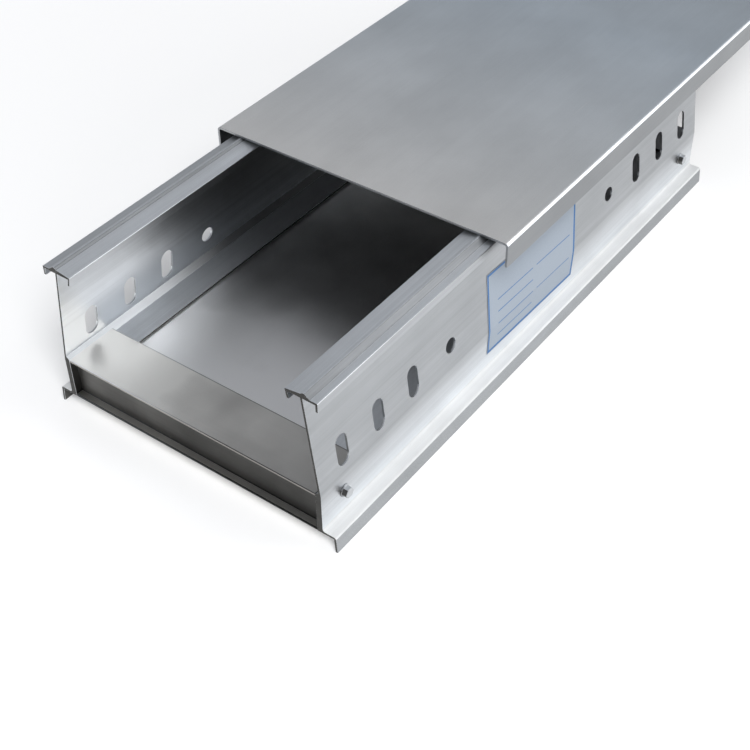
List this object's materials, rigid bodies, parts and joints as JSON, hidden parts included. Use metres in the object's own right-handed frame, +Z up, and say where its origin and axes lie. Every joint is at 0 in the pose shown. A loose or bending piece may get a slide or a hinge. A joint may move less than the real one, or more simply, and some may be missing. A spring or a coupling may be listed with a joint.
{
  "type": "cable trough",
  "caption": "Short length of aluminium cable trough with leaning slotted side rails, a flat floor, end cross members and a sliding sheet cover.",
  "frame": {"origin": "middle of the whole's outline on the floor under the feet, with the cover slid back as in the picture", "axes": "+Y along the trough towards the end that the cover overhangs, +X across to the right-hand rail seen from the open end, +Z up"},
  "size_m": [0.1976, 0.547, 0.1023],
  "materials": {
    "rail_aluminium": "mill finish extrusion, fine lines along its length",
    "floor_aluminium": "smooth sheet",
    "member_aluminium": "smooth extrusion",
    "cover_aluminium": "satin sheet",
    "screw_steel": "bright zinc plated"
  },
  "bodies": {
    "trough": {"rail_right": "rail_aluminium", "rail_left": "rail_aluminium", "floor_sheet": "floor_aluminium", "cross_member_near": "member_aluminium", "cross_member_far": "member_aluminium", "screw_near_right": "screw_steel", "screw_near_left": "screw_steel", "screw_far_right": "screw_steel", "screw_far_left": "screw_steel"},
    "cover": {"cover": "cover_aluminium"}
  },
  "joints": [
    {"name": "cover_slide", "type": "slide", "parent": "trough", "child": "cover", "axis": [0, 1, 0], "range_m": [-0.147, 0.04]}
  ]
}
